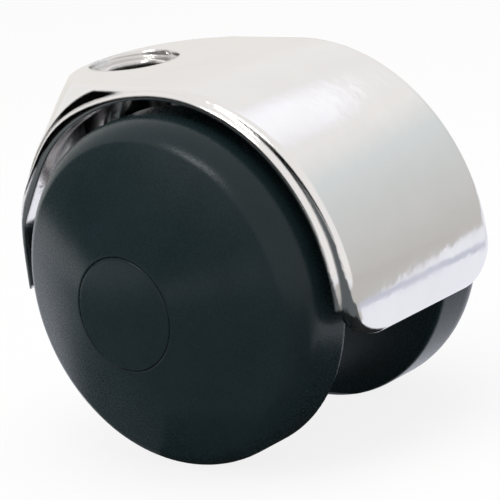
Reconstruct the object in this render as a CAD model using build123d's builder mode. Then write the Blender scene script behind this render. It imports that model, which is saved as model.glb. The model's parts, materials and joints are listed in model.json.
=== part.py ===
from build123d import *
import os
from math import asin, atan2, cos, degrees, hypot, radians, sin, sqrt

# Driving dimensions, in millimetres
# Stem socket: the origin is the centre of its mouth, and its axis is +Z
stem_bore_radius = 4.0
stem_bore_depth = 21.0
stem_boss_wall = 4.5
stem_boss_floor = 2.0
seat_radius = 6.6
seat_depth = 1.0

# Axle line, trailing behind the stem
trail = 17.5

# Wheels: tread, shoulder and domed face, with a cored ring round the hub on the flat inner side
wheel_radius = 25.0
wheel_spacing = 23.0
tread_width = 6.1
shoulder_drop = 2.5
shoulder_width = 4.4
face_rise = 6.4
face_bulge = 0.2
hub_radius = 6.0
core_width = 5.0
core_depth = 7.0
tread_round = 0.6

# Hub caps, each pushed into a cup in the wheel's face
cap_radius = 8.0
cap_crown = 0.7
cap_thickness = 1.4
cap_skirt_radius = 6.8
cap_skirt_wall = 1.0
cap_skirt_length = 2.0
cap_gap = 0.12

# Axle, thrust washers and push-on retaining washers
axle_radius = 3.0
axle_end_bevel = 0.5
axle_stickout = 1.2
press_gap = 0.02
running_gap = 0.05
end_play = 0.1
axle_boss_wall = 4.0
axle_boss_width = 12.0
washer_radius = 5.5
washer_thickness = 0.8
retainer_radius = 5.4
retainer_thickness = 0.5
retainer_slots = 6
retainer_slot_width = 1.0
retainer_band = 1.0

# Hood: a cast skin over both wheels, with a nose round the stem socket
hood_width = 31.8
well_clearance = 1.9
skin_wall = 1.8
skin_back_shift = 1.1
skin_down_shift = 0.5
skirt_back = 5.9
skirt_front = 2.0
back_corner_radius = 6.0
skin_edge_round = 0.8
roof = 2.2
nose_rim = 0.85
nose_wall = 2.2
nose_overhang = 0.8
# Sections of the nose, fanned about the axle: angle from the stem socket, in degrees, how far their
# sides stand beyond the wheel opening, and the rise of their crest as a share of the nose's bulge
nose_sections = ((-42, 2.4, 0.44), (-12, 3.0, 0.56), (3, 3.35, 0.73), (18, 3.55, 0.45), (33, 3.5, 0.26),
                 (53, 3.1, 0.25), (78, 2.95, 0.29))

# Wheel openings in the hood's sides, and the raised lip round each
well_front_gap = 2.0
lip_width = 0.95
lip_front_width = 0.6
lip_height = 0.8
lip_round = 0.7
lip_lift = 4.7
# Growth of the wheel opening and of the lip round it towards the front: angle and growth
well_swell = ((85, 0.0), (105, 0.25), (120, 0.6), (140, 1.2), (160, 1.75))
lip_swell = ((85, 0.0), (105, 0.30), (120, 1.2), (135, 2.0), (150, 2.1))

# Keel between the wheels
keel_thickness = 6.0
keel_back = 8.0

# Places worked out from the driving dimensions
well_radius = wheel_radius + well_clearance
skin_radius = well_radius + skin_wall
top = skin_radius - skin_down_shift
axle_drop = top - seat_depth
half_hood = hood_width / 2
stem_angle = degrees(atan2(top, -trail))
nose_top = trail + seat_radius + nose_rim
nose_bulge = hypot(nose_top, top) - well_radius
nose_front = well_radius + nose_bulge
lip_end = lip_lift - skirt_back
well_front = well_radius + well_front_gap
well_back = sqrt(well_radius**2 - lip_end**2)
stem_boss_radius = stem_bore_radius + stem_boss_wall
stem_boss_length = stem_bore_depth + stem_boss_floor
axle_boss_radius = axle_radius + axle_boss_wall
wheel_inner = wheel_spacing / 2
tread_edge = wheel_inner + tread_width
face_edge = tread_edge + shoulder_width
face_radius = wheel_radius - shoulder_drop
face_top = face_edge + face_rise
hub_inner = axle_boss_width / 2 + washer_thickness + end_play
cap_ledge = face_top - cap_thickness
cup_radius = cap_skirt_radius + cap_gap
cap_seat_radius = cap_radius + cap_gap
axle_half = cap_ledge - cap_skirt_length
retainer_inner = axle_half - axle_stickout - retainer_thickness
hub_outer = retainer_inner - end_play

# Working planes and axes
axle_centre = (trail, 0, -axle_drop)
side_view = Plane(origin=axle_centre, x_dir=(1, 0, 0), z_dir=(0, -1, 0))
back_view = Plane(origin=axle_centre, x_dir=(0, 1, 0), z_dir=(1, 0, 0))
wheel_section = Plane(origin=axle_centre, x_dir=(1, 0, 0), z_dir=(0, 0, 1))
axle_line = Axis(axle_centre, (0, 1, 0))
mid_plane = Plane.XZ


def across(distance):
    """Plane square to the axle, at a distance from the mid-plane, facing the right side."""
    return Plane(origin=(trail, distance, -axle_drop), x_dir=(1, 0, 0), z_dir=(0, 1, 0))


def nose_body(inset):
    """Bulged solid round the stem socket, lofted through sections fanned about the axle."""
    half_width = half_hood - inset
    reach = half_width + nose_overhang
    with BuildPart() as body:
        for turn, stand, share in nose_sections:
            angle = radians(stem_angle + turn)
            out = Vector(cos(angle), 0, sin(angle))
            rise = share * nose_bulge
            crest_radius = (half_width**2 + rise**2) / (2 * rise)
            crest_centre = well_radius + stand - inset + rise - crest_radius
            span = degrees(asin(reach / crest_radius))
            with BuildSketch(Plane(origin=axle_centre, x_dir=out, z_dir=out.cross(Vector(0, 1, 0)))):
                with BuildLine():
                    crest = CenterArc((crest_centre, 0), crest_radius, -span, 2 * span)
                    Polyline(crest @ 1, (axle_radius, reach), (axle_radius, -reach), crest @ 0)
                make_face()
        loft()
    return body.part


def well_sketch(plane, radius, swell, front):
    """Side view of a wheel opening down to the lip's ends, swelling to its front, on the given plane."""
    start = degrees(asin(lip_end / radius))
    with BuildSketch(plane) as outline:
        with BuildLine():
            rise = CenterArc((0, 0), radius, start, swell[0][0] - start)
            way = [((radius + growth) * cos(radians(angle)), (radius + growth) * sin(radians(angle)))
                   for angle, growth in swell]
            fall = Spline(*way, (-front, -skirt_front), tangents=(rise % 1, (0, -1)))
            Polyline(fall @ 1, (0, -skirt_front), rise @ 0)
        make_face()
    return outline.sketch


def write(solid, name):
    """Label a finished piece and write its file."""
    solid.label = name
    export_step(solid, f"parts/{name}.step")


# Outer form of the hood: the nose and a block behind it, cut to the skin's side view
with BuildPart() as hood_form:
    add(nose_body(0))
    with BuildSketch(side_view):
        Circle(well_radius)
        Rectangle(2 * skin_radius, 4 * skin_radius, align=(Align.MIN, Align.CENTER))
    extrude(amount=hood_width, both=True)
    with BuildSketch(side_view):
        with BuildLine():
            start = degrees(asin((skin_down_shift - skirt_back) / skin_radius))
            skin = CenterArc((skin_back_shift, -skin_down_shift), skin_radius, start, 90 - start)
            Polyline(skin @ 1, (-2 * nose_front, top), (-2 * nose_front, -skirt_front),
                     (-nose_top / 2, -skirt_front), (nose_top / 2, -skirt_back), skin @ 0)
        make_face()
    extrude(amount=half_hood, both=True, mode=Mode.INTERSECT)
    with BuildSketch(back_view.offset(skin_radius / 2)):
        with GridLocations(hood_width, 0, 2, 1):
            with Locations((0, -skirt_back)):
                Rectangle(2 * back_corner_radius, 2 * back_corner_radius)
        with GridLocations(hood_width - 2 * back_corner_radius, 0, 2, 1):
            with Locations((0, back_corner_radius - skirt_back)):
                Circle(back_corner_radius, mode=Mode.SUBTRACT)
    extrude(amount=skin_radius, mode=Mode.SUBTRACT)
    roof_face = hood_form.faces().filter_by(Plane.XY).sort_by(Axis.Z)[-1]
    side_faces = hood_form.faces().filter_by(Plane.XZ)
    side_edges = side_faces.edges().filter_by(GeomType.LINE, reverse=True)
    fillet(side_edges + roof_face.edges().sort_by(Axis.X)[:1], skin_edge_round)

# Hollow of the nose, inside its walls and roof
with BuildPart() as nose_hollow:
    add(nose_body(nose_wall))
    with BuildSketch(side_view):
        with Locations((0, top - roof)):
            Rectangle(2 * nose_front, 2 * top, align=(Align.MAX, Align.MAX))
    extrude(amount=half_hood - nose_wall, both=True, mode=Mode.INTERSECT)

# Plates round the wheel openings, which the openings then cut down to raised lips
with BuildPart() as lip_plates:
    plate = well_sketch(side_view.offset(nose_wall - half_hood), well_radius + lip_width, lip_swell,
                        well_front + lip_front_width)
    extrude(plate, amount=-nose_wall - lip_height)
    rim_edges = lip_plates.faces().sort_by(Axis.Y)[-1].edges()
    fillet(rim_edges.filter_by(GeomType.LINE, reverse=True), lip_round)
    mirror(about=mid_plane)

# Keel, stem boss and axle boss between the wheels
with BuildPart() as hood_core:
    with BuildSketch(side_view):
        Polygon((-trail, top), (keel_back, top), (axle_boss_radius, 0), (0, -axle_boss_radius),
                (-trail, axle_drop - stem_boss_length), align=None)
    extrude(amount=keel_thickness / 2, both=True)
    with BuildSketch(Plane.XY):
        Circle(stem_boss_radius)
    extrude(amount=-stem_boss_length)
    with BuildSketch(side_view):
        Circle(axle_boss_radius)
    extrude(amount=axle_boss_width / 2, both=True)
    with BuildSketch(side_view):
        with Locations((0, top - roof / 2)):
            Rectangle(2 * nose_front, 2 * top, align=(Align.CENTER, Align.MAX))
    extrude(amount=hood_width, both=True, mode=Mode.INTERSECT)
    add(hood_form.part, mode=Mode.INTERSECT)

# Hood: one casting of skin, nose, lips, keel and bosses
with BuildPart() as hood:
    add(hood_form.part)
    add(lip_plates.part)
    well = well_sketch(side_view, well_radius, well_swell, well_front)
    extrude(well, amount=hood_width, both=True, mode=Mode.SUBTRACT)
    with BuildSketch(side_view):
        Polygon((-well_front, -skirt_front), (0, -skirt_front), (well_back, lip_end),
                (well_back, -skin_radius), (-well_front, -skin_radius), align=None)
    extrude(amount=hood_width, both=True, mode=Mode.SUBTRACT)
    add(nose_hollow.part, mode=Mode.SUBTRACT)
    add(hood_core.part)
    with BuildSketch(Plane.XY.offset(seat_depth)):
        Circle(seat_radius)
    extrude(amount=-seat_depth, mode=Mode.SUBTRACT)
    with BuildSketch(Plane.XY):
        Circle(stem_bore_radius)
    extrude(amount=-stem_bore_depth, mode=Mode.SUBTRACT)
    with BuildSketch(side_view):
        Circle(axle_radius + press_gap)
    extrude(amount=axle_boss_width, both=True, mode=Mode.SUBTRACT)

# Axle pressed through the keel
with BuildPart() as axle:
    with BuildSketch(side_view):
        Circle(axle_radius)
    extrude(amount=axle_half, both=True)
    chamfer(axle.edges().filter_by(GeomType.CIRCLE), axle_end_bevel)

# Right wheel: hub, rim and domed face in one moulding
with BuildPart() as wheel:
    with BuildSketch(wheel_section):
        with BuildLine():
            bore = axle_radius + running_gap
            core_edge = hub_radius + core_width
            inner_side = Polyline((bore, hub_inner), (hub_radius, hub_inner),
                                  (hub_radius, wheel_inner + core_depth),
                                  (core_edge, wheel_inner + core_depth), (core_edge, wheel_inner),
                                  (wheel_radius - tread_round, wheel_inner))
            corner = TangentArc(inner_side @ 1, (wheel_radius, wheel_inner + tread_round), tangent=(1, 0))
            tread = Line(corner @ 1, (wheel_radius, tread_edge))
            shoulder = TangentArc(tread @ 1, (face_radius, face_edge), tangent=(0, 1))
            face = SagittaArc(shoulder @ 1, (cap_seat_radius, face_top), -face_bulge)
            Polyline(face @ 1, (cap_seat_radius, cap_ledge), (cup_radius, cap_ledge),
                     (cup_radius, hub_outer), (bore, hub_outer), inner_side @ 0)
        make_face()
    revolve(axis=axle_line)

# Right hub cap: a crowned disc with a ring that grips the cup
with BuildPart() as hub_cap:
    with BuildSketch(wheel_section):
        with BuildLine():
            skirt_inside = cap_skirt_radius - cap_skirt_wall
            crown = TangentArc((0, face_top + cap_crown), (cap_radius, face_top), tangent=(1, 0))
            Polyline(crown @ 1, (cap_radius, cap_ledge), (cap_skirt_radius, cap_ledge),
                     (cap_skirt_radius, axle_half), (skirt_inside, axle_half),
                     (skirt_inside, cap_ledge), (0, cap_ledge), crown @ 0)
        make_face()
    revolve(axis=axle_line)

# Right thrust washer, between the keel's axle boss and the wheel's hub
with BuildPart() as thrust_washer:
    with BuildSketch(across(axle_boss_width / 2)):
        Circle(washer_radius)
        Circle(axle_radius + running_gap, mode=Mode.SUBTRACT)
    extrude(amount=washer_thickness)

# Right retaining washer, pushed on the axle's end so that its teeth bite
with BuildPart() as retaining_washer:
    with BuildSketch(across(retainer_inner)):
        Circle(retainer_radius)
        Circle(axle_radius + press_gap, mode=Mode.SUBTRACT)
        slot_reach = retainer_radius - retainer_band
        with PolarLocations(slot_reach / 2, retainer_slots):
            Rectangle(slot_reach, retainer_slot_width, mode=Mode.SUBTRACT)
    extrude(amount=retainer_thickness)

# Files: single pieces, then each pair with its mirror image on the left side
os.makedirs("parts", exist_ok=True)
write(hood.part, "hood")
write(axle.part, "axle")
for piece, name in ((wheel, "wheel"), (hub_cap, "hub_cap"), (thrust_washer, "thrust_washer"),
                    (retaining_washer, "retaining_washer")):
    with BuildPart() as left_piece:
        mirror(piece.part, about=mid_plane)
    write(piece.part, f"{name}_right")
    write(left_piece.part, f"{name}_left")
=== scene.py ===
import json
from math import cos, radians, sin

import bpy
from mathutils import Matrix, Vector


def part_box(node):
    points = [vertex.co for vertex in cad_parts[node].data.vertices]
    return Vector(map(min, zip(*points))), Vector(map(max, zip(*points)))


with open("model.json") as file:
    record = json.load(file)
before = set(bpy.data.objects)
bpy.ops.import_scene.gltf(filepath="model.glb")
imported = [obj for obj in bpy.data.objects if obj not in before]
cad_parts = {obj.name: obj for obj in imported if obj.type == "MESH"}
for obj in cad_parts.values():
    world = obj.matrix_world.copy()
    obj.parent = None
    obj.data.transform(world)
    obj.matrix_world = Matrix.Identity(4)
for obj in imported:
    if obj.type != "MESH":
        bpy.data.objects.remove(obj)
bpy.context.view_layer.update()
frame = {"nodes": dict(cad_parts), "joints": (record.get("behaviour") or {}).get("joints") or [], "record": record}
scene = bpy.context.scene

# Where the castor's axle lies, and the floor under its wheels, in metres
AXLE = Vector(frame["joints"][0]["pos_m"])
FLOOR_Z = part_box("wheel_left")[0].z

# The photograph's view: turn and height about the axle, and tilt, in degrees
VIEW_TURN = 41.121
VIEW_HEIGHT = 14.726
VIEW_TILT = -8.109
# How far the camera stands back from the axle, to its side and above it, in metres
VIEW_DISTANCE = 0.407767
VIEW_SIDEWAYS = -0.000665
VIEW_UPWARD = 0.000733
# The sensor in millimetres, and the photograph's width and focal length in pixels
SENSOR_WIDTH = 36.0
PHOTO_WIDTH = 500
FOCAL_PIXELS = 2865.552

# Softened edges of the plating and of the mouldings, and the reach of the recesses' painted shade and dull
# plating, in metres
PLATED_EDGE = 0.0009
MOULDED_EDGE = 0.0006
RECESS_REACH = 0.012
# The middle of the hub cap, from the axle line, and where it has faded out, in metres
CAP_MIDDLE = 0.0030
CAP_MIDDLE_END = 0.0035
# Step between the papers and cloths that lie over each other on the floor, in metres
SHEET_STEP = 0.0001

# A Mix node's sockets share their names between kinds of data, so they go by number
FACTOR = 0
FLOAT_A, FLOAT_B, FLOAT_RESULT = 2, 3, 0
VECTOR_A, VECTOR_B, VECTOR_RESULT = 4, 5, 1
COLOUR_A, COLOUR_B, COLOUR_RESULT = 6, 7, 2


def linear(hex_colour):
    """An sRGB hex colour as linear RGBA."""
    parts = [int(hex_colour[i:i + 2], 16) / 255 for i in (1, 3, 5)]
    return [c / 12.92 if c <= 0.04045 else ((c + 0.055) / 1.055) ** 2.4 for c in parts] + [1.0]


def per_size(size_mm):
    """A texture scale whose pattern repeats about once in that many millimetres."""
    return 1000.0 / size_mm


def add_node(tree, kind, settings=None, inputs=None):
    """Adds a node with its settings, and with each input set to a value or linked from a socket."""
    node = tree.nodes.new(kind)
    for name, value in (settings or {}).items():
        setattr(node, name, value)
    for name, value in (inputs or {}).items():
        if isinstance(value, bpy.types.NodeSocket):
            tree.links.new(value, node.inputs[name])
        else:
            node.inputs[name].default_value = value
    return node


def new_material(name):
    """An empty node material and its tree."""
    material = bpy.data.materials.new(name)
    material.use_nodes = True
    material.node_tree.nodes.clear()
    return material, material.node_tree


def chrome_plated_zinc():
    """Chrome-plated zinc die casting: a bright mirror over a casting that isn't quite flat, so that
    reflections wander a little, with faint haze in patches, soft edges where the polish ran over,
    and thin, dull plating in the recesses that the polish and the current don't reach, with
    painted shade there too: the colour is darkened wherever occlusion finds a recess."""
    material, tree = new_material("chrome_plated_zinc_casting")
    place = add_node(tree, "ShaderNodeTexCoord").outputs["Object"]
    haze = add_node(tree, "ShaderNodeTexNoise", inputs={
        "Vector": place, "Scale": per_size(9.0), "Detail": 4.0, "Roughness": 0.6})
    shine = add_node(tree, "ShaderNodeMapRange", inputs={
        "Value": haze.outputs["Fac"],
        "From Min": 0.3, "From Max": 0.7, "To Min": 0.06, "To Max": 0.15})
    bright = add_node(tree, "ShaderNodeMix", {"data_type": "RGBA"}, {
        FACTOR: haze.outputs["Fac"], COLOUR_A: linear("#EAE7E5"), COLOUR_B: linear("#E2DFDD")})
    # Painted shade and dull plating: where occlusion finds a recess, the colour is darkened and the roughness
    # raised
    cover = add_node(tree, "ShaderNodeAmbientOcclusion", {"samples": 8, "only_local": True}, {
        "Distance": RECESS_REACH})
    recess_shade_and_dulling = add_node(tree, "ShaderNodeMapRange", inputs={
        "Value": cover.outputs["AO"],
        "From Min": 0.25, "From Max": 0.50, "To Min": 1.0, "To Max": 0.0})
    # Painted shade: the colour falls to a dark grey in the occluded recesses
    tint = add_node(tree, "ShaderNodeMix", {"data_type": "RGBA"}, {
        FACTOR: recess_shade_and_dulling.outputs["Result"],
        COLOUR_A: bright.outputs[COLOUR_RESULT], COLOUR_B: linear("#2E2C2A")})
    roughness = add_node(tree, "ShaderNodeMix", inputs={
        FACTOR: recess_shade_and_dulling.outputs["Result"], FLOAT_A: shine.outputs["Result"], FLOAT_B: 0.45})
    edge = add_node(tree, "ShaderNodeBevel", {"samples": 8}, {"Radius": PLATED_EDGE})
    waves = add_node(tree, "ShaderNodeTexNoise", inputs={
        "Vector": place, "Scale": per_size(2.5), "Detail": 2.0})
    wavy = add_node(tree, "ShaderNodeBump", inputs={
        "Strength": 0.25, "Distance": 0.0001, "Height": waves.outputs["Fac"],
        "Normal": edge.outputs["Normal"]})
    # Casting pits under the plating are about 0.2 mm across, and are drawn coarser so that they show
    pits = add_node(tree, "ShaderNodeTexNoise", inputs={
        "Vector": place, "Scale": per_size(0.7), "Detail": 2.0})
    pitted = add_node(tree, "ShaderNodeBump", inputs={
        "Strength": 0.12, "Distance": 0.00001, "Height": pits.outputs["Fac"],
        "Normal": wavy.outputs["Normal"]})
    shader = add_node(tree, "ShaderNodeBsdfPrincipled", inputs={
        "Base Color": tint.outputs[COLOUR_RESULT], "Metallic": 1.0,
        "Roughness": roughness.outputs[FLOAT_RESULT], "Normal": pitted.outputs["Normal"]})
    add_node(tree, "ShaderNodeOutputMaterial", inputs={"Surface": shader.outputs["BSDF"]})
    return material


def black_nylon():
    """Black moulded nylon from a spark-eroded mould: a matt skin of fine grains that scatters the
    light softly and keeps the sheen low, with a cool cast from the pigment."""
    material, tree = new_material("black_moulded_nylon")
    place = add_node(tree, "ShaderNodeTexCoord").outputs["Object"]
    # The real grains are about 0.08 mm across, and are drawn coarser so that they show
    grains = add_node(tree, "ShaderNodeTexNoise", inputs={
        "Vector": place, "Scale": per_size(0.35), "Detail": 3.0, "Roughness": 0.6})
    flow = add_node(tree, "ShaderNodeTexNoise", inputs={
        "Vector": place, "Scale": per_size(5.0), "Detail": 3.0})
    tint = add_node(tree, "ShaderNodeMix", {"data_type": "RGBA"}, {
        FACTOR: flow.outputs["Fac"], COLOUR_A: linear("#142023"), COLOUR_B: linear("#1A272A")})
    roughness = add_node(tree, "ShaderNodeMapRange", inputs={
        "Value": grains.outputs["Fac"],
        "From Min": 0.3, "From Max": 0.7, "To Min": 0.22, "To Max": 0.32})
    # The hub cap's middle takes its facets' own normal, because the mesh's normal leans at the pole
    from_axle = add_node(tree, "ShaderNodeVectorMath", {"operation": "SUBTRACT"}, {
        0: place, 1: AXLE})
    in_plane = add_node(tree, "ShaderNodeVectorMath", {"operation": "MULTIPLY"}, {
        0: from_axle.outputs["Vector"], 1: (1.0, 0.0, 1.0)})
    radius = add_node(tree, "ShaderNodeVectorMath", {"operation": "LENGTH"}, {
        0: in_plane.outputs["Vector"]})
    off_middle = add_node(tree, "ShaderNodeMapRange", inputs={
        "Value": radius.outputs["Value"], "From Min": CAP_MIDDLE, "From Max": CAP_MIDDLE_END})
    facets = add_node(tree, "ShaderNodeNewGeometry")
    edge = add_node(tree, "ShaderNodeBevel", {"samples": 8}, {"Radius": MOULDED_EDGE})
    normal = add_node(tree, "ShaderNodeMix", {"data_type": "VECTOR"}, {
        FACTOR: off_middle.outputs["Result"],
        VECTOR_A: facets.outputs["True Normal"], VECTOR_B: edge.outputs["Normal"]})
    grain = add_node(tree, "ShaderNodeBump", inputs={
        "Strength": 0.4, "Distance": 0.00004, "Height": grains.outputs["Fac"],
        "Normal": normal.outputs[VECTOR_RESULT]})
    shader = add_node(tree, "ShaderNodeBsdfPrincipled", inputs={
        "Base Color": tint.outputs[COLOUR_RESULT], "Roughness": roughness.outputs["Result"],
        "IOR": 1.53, "Specular IOR Level": 0.2, "Normal": grain.outputs["Normal"]})
    add_node(tree, "ShaderNodeOutputMaterial", inputs={"Surface": shader.outputs["BSDF"]})
    return material


def turned_steel(name, colour, roughness):
    """Steel, drawn or stamped: fine rings left by the tool round the axle line, with a dull, oily
    shine."""
    material, tree = new_material(name)
    place = add_node(tree, "ShaderNodeTexCoord").outputs["Object"]
    # The tool's rings are about 0.1 mm apart, and are drawn coarser so that they show
    rings = add_node(tree, "ShaderNodeTexWave", {"bands_direction": "Y"}, {
        "Vector": place, "Scale": per_size(0.3), "Distortion": 0.6, "Detail": 2.0})
    shade = add_node(tree, "ShaderNodeMapRange", inputs={
        "Value": rings.outputs["Fac"], "To Min": roughness - 0.06, "To Max": roughness + 0.06})
    score = add_node(tree, "ShaderNodeBump", inputs={
        "Strength": 0.15, "Distance": 0.00001, "Height": rings.outputs["Fac"]})
    shader = add_node(tree, "ShaderNodeBsdfPrincipled", inputs={
        "Base Color": linear(colour), "Metallic": 1.0, "Roughness": shade.outputs["Result"],
        "Normal": score.outputs["Normal"]})
    add_node(tree, "ShaderNodeOutputMaterial", inputs={"Surface": shader.outputs["BSDF"]})
    return material


finishes = {
    "chrome_plated_zinc": chrome_plated_zinc(),
    "black_nylon": black_nylon(),
    "axle_steel": turned_steel("drawn_bright_steel", "#C2C1BE", 0.28),
    "washer_steel": turned_steel("zinc_plated_steel", "#BFC2C4", 0.36),
    "spring_steel": turned_steel("oiled_spring_steel", "#6C6A68", 0.32),
}
for part in frame["record"]["subparts"]:
    mesh = frame["nodes"][part["node"]].data
    mesh.materials.clear()
    mesh.materials.append(finishes[part["material_slot"]])


def seen_rays(tree):
    """A socket that is 1 for what the camera, mirrors and glass see, and 0 for light on the castor."""
    rays = add_node(tree, "ShaderNodeLightPath").outputs
    seen = rays["Is Camera Ray"]
    for ray in ("Is Glossy Ray", "Is Transmission Ray"):
        either = add_node(tree, "ShaderNodeMath", {"operation": "MAXIMUM"}, {0: seen, 1: rays[ray]})
        seen = either.outputs["Value"]
    return seen


def pale_floor():
    """Pale paper floor: plain white to the eye, and it keeps the castor's soft shadow."""
    material, tree = new_material("pale_paper_floor")
    share = add_node(tree, "ShaderNodeMath", {"operation": "MULTIPLY"}, {0: seen_rays(tree), 1: 0.85})
    paper = add_node(tree, "ShaderNodeBsdfDiffuse", inputs={"Color": linear("#F4F4F3")})
    glow = add_node(tree, "ShaderNodeEmission", inputs={"Color": linear("#FFFFFF"), "Strength": 1.0})
    mixed = add_node(tree, "ShaderNodeMixShader", inputs={
        0: share.outputs["Value"], 1: paper.outputs["BSDF"], 2: glow.outputs["Emission"]})
    add_node(tree, "ShaderNodeOutputMaterial", inputs={"Surface": mixed.outputs["Shader"]})
    return material


def plane_object(name, width, height, matrix, material):
    """A flat rectangle of the set, facing along the matrix's Z."""
    w, h = width / 2, height / 2
    mesh = bpy.data.meshes.new(name)
    mesh.from_pydata([(-w, -h, 0), (w, -h, 0), (w, h, 0), (-w, h, 0)], [], [(0, 1, 2, 3)])
    mesh.materials.append(material)
    sheet = bpy.data.objects.new(name, mesh)
    sheet.matrix_world = matrix
    scene.collection.objects.link(sheet)
    return sheet


plane_object("floor", 6.0, 6.0, Matrix.Translation((AXLE.x, AXLE.y, FLOOR_Z)), pale_floor())


def aimed(place, target):
    """Matrix of a lamp or card at a place, with its Z axis pointing back from the target."""
    back = (place - target).normalized()
    return Matrix.Translation(place) @ back.to_track_quat("Z", "Y").to_matrix().to_4x4()


def soft_lamp(name, offset, size, power):
    """A square softbox, placed about the axle and aimed at it, which mirrors don't see."""
    lamp = bpy.data.lights.new(name, "AREA")
    lamp.shape = "SQUARE"
    lamp.size = size
    lamp.energy = power
    holder = bpy.data.objects.new(name, lamp)
    holder.matrix_world = aimed(AXLE + Vector(offset), AXLE)
    holder.visible_glossy = False
    scene.collection.objects.link(holder)


soft_lamp("overhead_softbox", (0.05, -0.05, 0.60), 0.50, 2.2)
soft_lamp("left_softbox", (-0.40, -0.45, 0.10), 0.35, 1.8)


def card_material(name, shades, strength=1.0):
    """A card that looks evenly lit: one shade, or several from its bottom edge to its top."""
    material, tree = new_material(name)
    colour = linear(shades[0])
    if len(shades) > 1:
        place = add_node(tree, "ShaderNodeTexCoord").outputs["Generated"]
        height = add_node(tree, "ShaderNodeSeparateXYZ", inputs={"Vector": place})
        ramp = add_node(tree, "ShaderNodeValToRGB", inputs={"Fac": height.outputs["Y"]})
        steps = ramp.color_ramp.elements
        for _ in shades[2:]:
            steps.new(0.5)
        for i, shade in enumerate(shades):
            steps[i].position = i / (len(shades) - 1)
            steps[i].color = linear(shade)
        colour = ramp.outputs["Color"]
    glow = add_node(tree, "ShaderNodeEmission", inputs={"Color": colour, "Strength": strength})
    add_node(tree, "ShaderNodeOutputMaterial", inputs={"Surface": glow.outputs["Emission"]})
    return material


def studio_card(name, width, height, matrix, material):
    """A card of the set that only mirrors see."""
    card = plane_object(name, width, height, matrix, material)
    card.visible_camera = False
    card.visible_diffuse = False
    card.visible_shadow = False


def facing(offset, direction):
    """Matrix of a card placed about the axle that faces along a direction."""
    centre = AXLE + Vector(offset)
    return aimed(centre, centre - Vector(direction))


def on_floor(x, y, layer, turn=0.0):
    """Matrix of a sheet that lies on the floor, in a numbered layer and turned by some degrees."""
    place = Matrix.Translation((x, y, FLOOR_Z + layer * SHEET_STEP))
    return place @ Matrix.Rotation(radians(turn), 4, "Z")


# Black card leaning back at the front left, in the hood's side faces and the wheel's face
studio_card("black_card", 0.215, 0.20, facing((-0.065, -0.138, 0.073), (0.42, 0.48, 0.77)),
            card_material("black_card", ("#030303", "#050505")))
# Grey cloth on the floor in front, in the cap and the lower part of the wheel's face
studio_card("grey_cloth", 0.31, 0.45, on_floor(-0.015, -0.242, 4, 5.0),
            card_material("grey_cloth", ("#606568",)))
# Strip light above the black card, which draws a line along the crease of the wheel's face
studio_card("strip_light", 0.14, 0.03, facing((-0.032, -0.234, 0.230), (0.125, 0.71, -0.695)),
            card_material("strip_light", ("#FFFFFF",), 14.0))
# Graduated grey card behind on the right, in the back of the hood's skin
studio_card("grey_card", 0.34, 0.25, facing((0.138, 0.232, 0.100), (-0.62, -0.785, 0.0)),
            card_material("graduated_grey_card",
                          ("#CFCECC", "#D8DADA", "#DEE3E4", "#E7EEF0", "#FFFFFF")))
# White paper under the castor and the table beyond its edge, in the lower part of the skin
studio_card("white_paper", 0.60, 0.60, on_floor(AXLE.x, AXLE.y, 2),
            card_material("cool_white_paper", ("#F2F5FF",), 1.12))
studio_card("table_beyond_paper", 0.20, 0.60, on_floor(0.251, 0.127, 3, -27.3),
            card_material("grey_table", ("#CCCBC9",)))
# A strip of painted shade on the paper, which draws a darker streak along the lower part of the skin
studio_card("paper_shade_streak", 0.011, 0.14, on_floor(0.097, 0.075, 5),
            card_material("paper_shade_streak", ("#D2D7E8",)))
# The paper in the castor's own shade, in the treads
studio_card("shaded_paper", 0.05, 0.042, on_floor(0.037, -0.009, 6),
            card_material("shaded_paper", ("#202222",)))
# Warm wall at the back left, in the roof and the nose
studio_card("warm_wall", 0.60, 0.30, facing((-0.30, 0.34, 0.09), (0.66, -0.75, 0.0)),
            card_material("warm_wall", ("#F4F2ED", "#F4F2EE", "#F8F6F4", "#FFFFFF")))
# Softbox face high at the back, fading to its sides, which lies as a bright band over the crown
band_lay = facing((0.0105, 0.225, 0.304), (0.0, -0.61, -0.79))
studio_card("band_card", 0.15, 0.184, band_lay @ Matrix.Rotation(radians(-90.0), 4, "Z"),
            card_material("softbox_cloth",
                          ("#E3E3E5", "#F6F8FF", "#F8FAFF", "#F1F3FA", "#E3E3E5"), 1.29))

# White surroundings, which the chrome shows; the light that they give is softer than they look
world = bpy.data.worlds.new("white_studio")
scene.world = world
world.use_nodes = True
sky = world.node_tree
sky.nodes.clear()
strength = add_node(sky, "ShaderNodeMapRange", inputs={
    "Value": seen_rays(sky), "To Min": 0.55, "To Max": 1.0})
backdrop = add_node(sky, "ShaderNodeBackground", inputs={
    "Color": linear("#FFFFFF"), "Strength": strength.outputs["Result"]})
add_node(sky, "ShaderNodeOutputWorld", inputs={"Surface": backdrop.outputs["Background"]})

# Camera at the photograph's view
turn, height, tilt = radians(VIEW_TURN), radians(VIEW_HEIGHT), radians(VIEW_TILT)
back = Vector((sin(turn) * cos(height), -cos(turn) * cos(height), sin(height)))
level = Vector((cos(turn), sin(turn), 0.0))
rise = back.cross(level)
right = cos(tilt) * level + sin(tilt) * rise
up = cos(tilt) * rise - sin(tilt) * level
camera_data = bpy.data.cameras.new("camera")
camera_data.sensor_width = SENSOR_WIDTH
camera_data.lens = SENSOR_WIDTH * FOCAL_PIXELS / PHOTO_WIDTH
camera_data.clip_start = 0.01
camera = bpy.data.objects.new("camera", camera_data)
stand = AXLE + VIEW_DISTANCE * back + VIEW_SIDEWAYS * right + VIEW_UPWARD * up
camera.matrix_world = Matrix.Translation(stand) @ Matrix((right, up, back)).transposed().to_4x4()
scene.collection.objects.link(camera)
scene.camera = camera

scene.view_settings.view_transform = "Standard"
